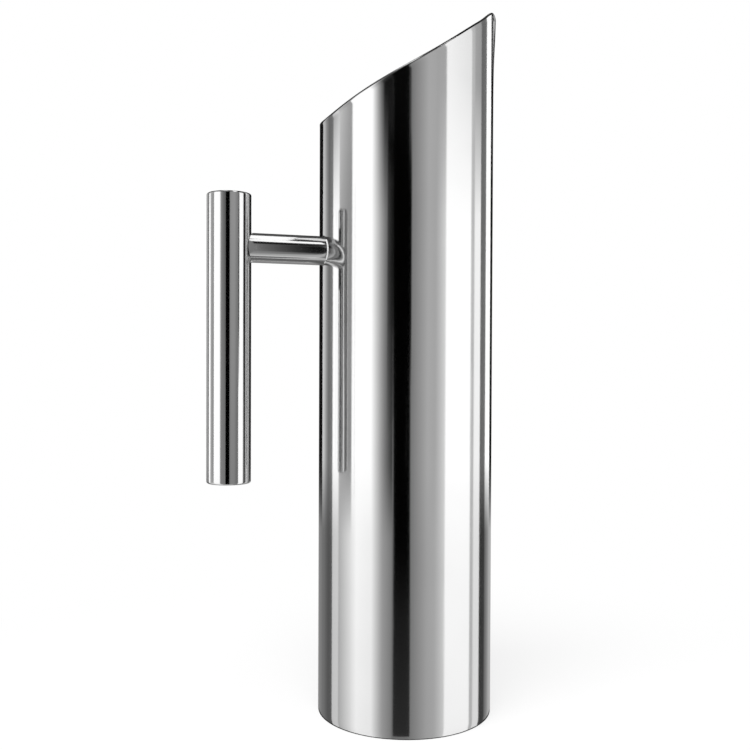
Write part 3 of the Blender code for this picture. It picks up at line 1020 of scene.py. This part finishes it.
class PITCHER_OT_fixing(bpy.types.Operator):
    """Make the handle screw, its washer and its seal, and finish the hidden block"""

    bl_idname = "pitcher.make_fixing"
    bl_label = "Handle Fixing"

    def execute(self, context):
        sizes, finish = settings(context)
        axis_at = (0.0, 0.0, STEM_HEIGHT)
        turned = one_material("turned_steel", ringed_steel, finish.turned, axis_at, *TURNED_RINGS)
        self.make_screw(sizes, turned)
        self.make_rings(sizes, turned, one_material("seal_silicone", silicone, finish))
        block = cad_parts["grip_block"]
        block.data.materials.clear()
        block.data.materials.append(turned)
        return {"FINISHED"}

    def make_screw(self, sizes, material):
        """Turned screw with a hexagon socket, laid along X."""
        shank = sizes.screw_diameter / 2
        head = SCREW_HIGH.y
        seat_at = WASHER_HIGH.x + HAIRLINE
        length = seat_at - SCREW_LOW.x
        height = SCREW_HIGH.x - seat_at
        round_size = height * HEAD_ROUND_SHARE
        tip = shank * TIP_SHARE
        rows = [
            Row(0.0, -length),
            Row(shank - tip, -length, edge=1.0),
            Row(shank, tip - length, edge=1.0),
            Row(shank, 0.0),
            Row(head, 0.0, edge=1.0),
        ]
        rows += bend(head - round_size, height - round_size, round_size, 0, 90, ROUND_STEPS)
        rows.append(Row(0.0, height))
        piece = turn("fixing_screw", rows, FIXING_SEGMENTS, material)

        bm = bmesh.new()
        corner_radius = sizes.socket_width / math.sqrt(3)
        bmesh.ops.create_cone(
            bm,
            cap_ends=True,
            segments=6,
            radius1=corner_radius,
            radius2=corner_radius,
            depth=2 * height * SOCKET_DEPTH_SHARE,
            matrix=Matrix.Translation((0.0, 0.0, height)),
        )
        cutter = new_object("socket", mesh_from(bm, "socket"))
        cut = piece.modifiers.new("Socket", "BOOLEAN")
        cut.object = cutter
        apply(piece, cut)
        bpy.data.objects.remove(cutter)
        lay_down = Matrix.Translation((seat_at, 0.0, STEM_HEIGHT)) @ Matrix.Rotation(math.pi / 2, 4, "Y")
        piece.data.transform(lay_down)
        smooth(piece.data)
        seat(piece, "handle_screw")

    def make_rings(self, sizes, turned, rubber):
        """Saddle washer, flat under the head, and the bent seal between it and the wall."""
        hole = sizes.screw_diameter / 2 + HAIRLINE
        bore = BODY_RADIUS - sizes.wall - HAIRLINE
        seal_radius = SEAL_HIGH.y
        seal_inside = -SEAL_LOW.x - sizes.seal_thickness
        washer_radius = WASHER_HIGH.y
        face = -WASHER_HIGH.x
        back = seal_inside - HAIRLINE
        edge = sizes.washer_edge

        def spot(radius, angle, reach):
            """Point round the screw's axis, at a distance from the body's axis."""
            return (-reach, radius * math.cos(angle), STEM_HEIGHT + radius * math.sin(angle))

        def curved(radius, angle, tube):
            """Point round the screw's axis, on a tube round the body's axis."""
            return spot(radius, angle, saddle(tube, radius * math.cos(angle)))

        def washer_section(angle):
            """Loop over the flat face, the chamfer and the back that follows the wall."""
            return [
                spot(hole, angle, face),
                spot(washer_radius - edge, angle, face),
                spot(washer_radius, angle, face + edge),
                curved(washer_radius, angle, back),
                curved(hole, angle, back),
            ]

        def seal_section(angle):
            """Loop over the two faces that follow the wall."""
            return [
                curved(hole, angle, seal_inside),
                curved(seal_radius, angle, seal_inside),
                curved(seal_radius, angle, bore),
                curved(hole, angle, bore),
            ]

        washer = ring("fixing_washer", washer_section, FIXING_SEGMENTS, turned)
        seat(washer, "saddle_washer")
        seal = ring("fixing_seal", seal_section, FIXING_SEGMENTS, rubber)
        seat(seal, "wall_seal")


def stage_mesh(name, corners, faces, material, tones=None):
    """Mesh of the stage, with a tone at each corner where it has any."""
    mesh = bpy.data.meshes.new(name)
    mesh.from_pydata(corners, [], faces)
    if tones is not None:
        mark = mesh.attributes.new("tone", "FLOAT", "POINT")
        mark.data.foreach_set("value", tones)
    mesh.materials.append(material)
    piece = new_object(name, mesh)
    return piece


def reflection_only(piece):
    """Let only polished surfaces see a stage piece."""
    piece.visible_camera = False
    piece.visible_diffuse = False
    piece.visible_transmission = False
    piece.visible_volume_scatter = False
    piece.visible_shadow = False


def sheet(name, columns, material):
    """Card made of columns of corners, each given as x, y, z and tone."""
    corners = [corner[:3] for column in columns for corner in column]
    tones = [corner[3] for column in columns for corner in column]
    rows = len(columns[0])
    faces = []
    for column in range(len(columns) - 1):
        for row in range(rows - 1):
            first = column * rows + row
            faces.append((first, first + rows, first + rows + 1, first + 1))
    reflection_only(stage_mesh(name, corners, faces, material, tones))


def level_square(corners, height):
    """Four corners of a level rectangle that is given by two, front side first."""
    (left, front), (right, back) = corners
    return [(left, front, height), (right, front, height), (right, back, height), (left, back, height)]


def level_card(name, corners, height, material, front_tone, rear_tone=None):
    """Level rectangular card, with a tone of its own at the rear where it has one."""
    rear = front_tone if rear_tone is None else rear_tone
    tones = [front_tone, front_tone, rear, rear]
    reflection_only(stage_mesh(name, level_square(corners, height), [(0, 1, 2, 3)], material, tones))


def around_axis(azimuth, distance):
    """Place on a circle round the body's axis, at an azimuth in degrees from the front."""
    angle = math.radians(azimuth)
    return distance * math.sin(angle), -distance * math.cos(angle)


def card_column(card, start, share, distance):
    """Corners of an upright card from its inner edge to its top, at a share of its width."""
    tone = between(card.tone, share)
    table = between(card.table, share)
    crown = between(card.crown or card.tone, share)
    below = table * TABLE_FADE + TABLE_HAZE
    x, y = around_axis(between((start, card.end), share), distance)
    return (
        (x * TABLE_INNER_SHARE, y * TABLE_INNER_SHARE, CARD_BOTTOM, below),
        (x, y, CARD_BOTTOM, below),
        (x, y, CARD_FOOT, table),
        (x, y, CARD_LINE, tone),
        (x, y, CARD_WAIST, tone),
        (x, y, CARD_CROWN, crown),
        (x, y, CARD_TOP, crown),
    )


def bare_tree(owner):
    """Empty node tree of a material or a world."""
    owner.use_nodes = True
    owner.node_tree.nodes.clear()
    return owner.node_tree


def toned_material(name, kind, **inputs):
    """Material of one shader, whose colour comes from the tone at each corner."""
    material = bpy.data.materials.new(name)
    tree = bare_tree(material)
    tone = add(tree, "ShaderNodeAttribute", attribute_name="tone").outputs["Fac"]
    shader = add(tree, kind, {"Color": calc(tree, "POWER", tone, SCREEN_POWER), **inputs})
    add(tree, "ShaderNodeOutputMaterial", {"Surface": shader.outputs[0]})
    return material


def in_view(tree):
    """1 for what the camera sees, also by way of metal and glass, and 0 for light on other things."""
    path = add(tree, "ShaderNodeLightPath").outputs
    seen = calc(tree, "ADD", path["Is Camera Ray"], path["Is Glossy Ray"])
    return calc(tree, "ADD", seen, path["Is Transmission Ray"], clamp=True)


def floor_material(studio):
    """Pale floor: it keeps shadows, and the camera sees part of it as plain white."""
    material = bpy.data.materials.new("floor_paper")
    tree = bare_tree(material)
    paper = add(tree, "ShaderNodeBsdfDiffuse", {"Color": (*studio.floor_colour, 1.0)})
    white = add(tree, "ShaderNodeEmission", {"Color": WHITE, "Strength": 1.0})
    where = add(tree, "ShaderNodeTexCoord").outputs["Object"]
    away = add(tree, "ShaderNodeVectorMath", {0: where}, operation="LENGTH").outputs["Value"]
    spread = {
        "Value": away,
        "From Min": studio.floor_near,
        "From Max": studio.floor_far,
        "To Min": studio.floor_glow,
        "To Max": 1.0,
    }
    glow = add(tree, "ShaderNodeMapRange", spread, interpolation_type="SMOOTHSTEP").outputs[0]
    share = calc(tree, "MULTIPLY", in_view(tree), glow)
    both = add(tree, "ShaderNodeMixShader", {0: share, 1: paper.outputs[0], 2: white.outputs[0]})
    add(tree, "ShaderNodeOutputMaterial", {"Surface": both.outputs[0]})
    return material


class PITCHER_OT_stage(bpy.types.Operator):
    """Set up the floor, the cards, the light and the camera"""

    bl_idname = "pitcher.make_stage"
    bl_label = "Studio"

    def execute(self, context):
        studio = context.scene.pitcher_studio
        self.make_floor(studio)
        light = toned_material("card_light", "ShaderNodeEmission", Strength=studio.card_strength)
        self.make_tent(studio.card_distance, light)
        self.make_lid_and_table(studio.card_distance, light)
        self.make_flags(studio.card_distance, light)
        self.make_near_cards(light)
        self.make_light(context.scene, studio)
        self.make_camera(context.scene, studio)
        context.scene.view_settings.view_transform = "Standard"
        return {"FINISHED"}

    def make_floor(self, studio):
        """Large plain floor at the pitcher's foot, which the steel doesn't see."""
        corners = level_square(((-FLOOR_REACH, -FLOOR_REACH), (FLOOR_REACH, FLOOR_REACH)), 0.0)
        floor = stage_mesh("floor", corners, [(0, 1, 2, 3)], floor_material(studio))
        floor.visible_glossy = False

    def make_tent(self, distance, light):
        """Upright cards all round, with a valance over them that is dark behind."""
        start = FIRST_CARD_AZIMUTH
        for card in CARDS:
            count = max(1, round((card.end - start) / CARD_STEP))
            columns = [card_column(card, start, step / count, distance) for step in range(count + 1)]
            sheet("card_" + card.name, columns, light)
            start = card.end

        columns = []
        for step in range(AROUND + 1):
            azimuth = 360 * step / AROUND
            x, y = around_axis(azimuth, distance)
            front = (1 + math.cos(math.radians(azimuth))) / 2
            left = max(0.0, -math.sin(math.radians(azimuth)))
            tone = between((VALANCE_REAR_TONE, VALANCE_FRONT_TONE), front)
            tone += VALANCE_LEFT_GAIN * left ** VALANCE_LEFT_POWER
            columns.append(((x, y, CARD_TOP, tone), (x, y, VALANCE_TOP, tone)))
        sheet("valance", columns, light)

    def make_lid_and_table(self, distance, light):
        """Ceiling with its soft boxes, and the card under the table with its patches."""
        whole = ((-distance, -distance), (distance, distance))
        ceiling_at = VALANCE_TOP + CEILING_GAP
        level_card("ceiling", whole, ceiling_at, light, CEILING_FRONT_TONE, CEILING_REAR_TONE)
        for number, corners in enumerate(SOFTBOXES):
            level_card(f"softbox_{number}", corners, VALANCE_TOP, light, 1.0)
        level_card("under_card", whole, CARD_BOTTOM - 2 * GUARD, light, UNDER_TONE)
        for number, corners in enumerate(UNDER_PATCHES):
            level_card(f"under_patch_{number}", corners, CARD_BOTTOM - GUARD, light, UNDER_PATCH_TONE)

    def make_flags(self, distance, light):
        """Flags, the strip and the net, which shape single reflections."""
        columns = []
        for side in (0, 1):
            column = []
            for height, tone, edges in CAMERA_FLAG_ROWS:
                column.append((*around_axis(edges[side], CAMERA_FLAG_DISTANCE), height, tone))
            columns.append(column)
        sheet("camera_flag", columns, light)

        edges = [around_axis(azimuth, distance - GUARD) for azimuth in LIP_STRIP_EDGES]
        columns = [[(*edge, height, tone) for height, tone in LIP_STRIP_ROWS] for edge in edges]
        sheet("lip_strip", columns, light)

        columns = []
        for x, y, rows in STEM_NET_EDGES:
            columns.append([(x * MM, y * MM, STEM_HEIGHT + height * MM, tone) for height, tone in rows])
        sheet("stem_net", columns, toned_material("black_net", "ShaderNodeBsdfTransparent"))

        level_card("rim_flag", RIM_FLAG, RIM_FLAG_HEIGHT, light, RIM_FLAG_TONE)

    def make_near_cards(self, light):
        """Fill cards at the gap, the card before the grip and the dark disc under the foot."""
        fills = {
            "grip_fill_low": (GRIP_LOW.z, STEM_LOW.z - GRIP_FILL_GAP),
            "grip_fill_high": (STEM_HIGH.z + GRIP_FILL_GAP, GRIP_HIGH.z),
        }
        for name, heights in fills.items():
            columns = [[(*end, height, GRIP_FILL_TONE) for height in heights] for end in GRIP_FILL_ENDS]
            sheet(name, columns, light)

        low = GRIP_LOW.z - GRIP_CARD_MARGIN
        high = GRIP_HIGH.z + GRIP_CARD_MARGIN
        columns = []
        for x, low_tone, high_tone in GRIP_CARD_COLUMNS:
            columns.append(((x, GRIP_CARD_Y, low, low_tone), (x, GRIP_CARD_Y, high, high_tone)))
        sheet("grip_card", columns, light)

        columns = []
        for step in range(AROUND + 1):
            x, y = around_axis(360 * step / AROUND, FOOT_SHADE_RADIUS)
            columns.append(((0.0, 0.0, -HAIRLINE, 0.0), (x, y, -HAIRLINE, 0.0)))
        sheet("foot_shade", columns, light)

    def make_light(self, scene, studio):
        """White surroundings, as camera and steel see them, a plain fill and one soft lamp."""
        world = bpy.data.worlds.new("studio_white")
        tree = bare_tree(world)
        fill = add(tree, "ShaderNodeBackground", {"Color": WHITE, "Strength": studio.fill_light})
        white = add(tree, "ShaderNodeBackground", {"Color": WHITE, "Strength": 1.0})
        both = add(tree, "ShaderNodeMixShader", {0: in_view(tree), 1: fill.outputs[0], 2: white.outputs[0]})
        add(tree, "ShaderNodeOutputWorld", {"Surface": both.outputs[0]})
        scene.world = world

        lamp = bpy.data.lights.new("soft_lamp", "AREA")
        lamp.shape = "DISK"
        lamp.size = LAMP_SIZE
        lamp.energy = studio.lamp_power
        hung = new_object("soft_lamp", lamp)
        hung.location = LAMP_PLACE
        hung.rotation_euler = Vector(LAMP_PLACE).to_track_quat("Z", "Y").to_euler()
        hung.visible_glossy = False

    def make_camera(self, scene, studio):
        """Camera at the photograph's place, with its lens, turn, tilt and roll."""
        azimuth = studio.camera_azimuth
        place = Vector((
            math.sin(azimuth) * studio.camera_distance,
            -math.cos(azimuth) * studio.camera_distance,
            studio.camera_height,
        ))
        camera = bpy.data.cameras.new("photo_camera")
        camera.lens = studio.camera_lens
        camera.sensor_width = SENSOR_WIDTH
        camera.clip_start = CLIP_START
        holder = new_object("photo_camera", camera)
        upright = Matrix.Rotation(math.pi / 2, 4, "X")
        heading = Matrix.Rotation(azimuth + studio.camera_turn, 4, "Z")
        tilt = Matrix.Rotation(-studio.camera_tilt, 4, "X")
        roll = Matrix.Rotation(studio.camera_roll, 4, "Z")
        holder.matrix_world = Matrix.Translation(place) @ heading @ upright @ tilt @ roll
        scene.camera = holder


class PITCHER_PT_sidebar(bpy.types.Panel):
    """Sizes, finishes and makers of the pitcher"""

    bl_idname = "PITCHER_PT_sidebar"
    bl_label = "Water Pitcher"
    bl_space_type = "VIEW_3D"
    bl_region_type = "UI"
    bl_category = "Pitcher"

    def draw(self, context):
        """List the settings and then the makers."""
        for label in GROUPS:
            group = getattr(context.scene, label)
            box = self.layout.box()
            for name in group.bl_rna.properties.keys():
                if name not in ("rna_type", "name"):
                    box.prop(group, name)
        for operator in OPERATORS:
            self.layout.operator(operator.bl_idname)


GROUPS = {
    "pitcher_sizes": PitcherSizes,
    "pitcher_finish": PitcherFinish,
    "pitcher_studio": PitcherStudio,
}
OPERATORS = (
    PITCHER_OT_body,
    PITCHER_OT_bottom,
    PITCHER_OT_stem,
    PITCHER_OT_grip,
    PITCHER_OT_fixing,
    PITCHER_OT_stage,
)
CLASSES = (*GROUPS.values(), *OPERATORS, PITCHER_PT_sidebar)


def register():
    """Register every class and hang the settings on the scene."""
    for item in CLASSES:
        bpy.utils.register_class(item)
    for name, group in GROUPS.items():
        setattr(bpy.types.Scene, name, PointerProperty(type=group))


def unregister():
    """Take the settings off the scene and unregister every class."""
    for name in GROUPS:
        delattr(bpy.types.Scene, name)
    for item in reversed(CLASSES):
        bpy.utils.unregister_class(item)


def main():
    """Make every piece and the stage."""
    register()
    bpy.ops.pitcher.make_body()
    bpy.ops.pitcher.make_bottom()
    bpy.ops.pitcher.make_stem()
    bpy.ops.pitcher.make_grip()
    bpy.ops.pitcher.make_fixing()
    bpy.ops.pitcher.make_stage()


if __name__ == "__main__":
    main()
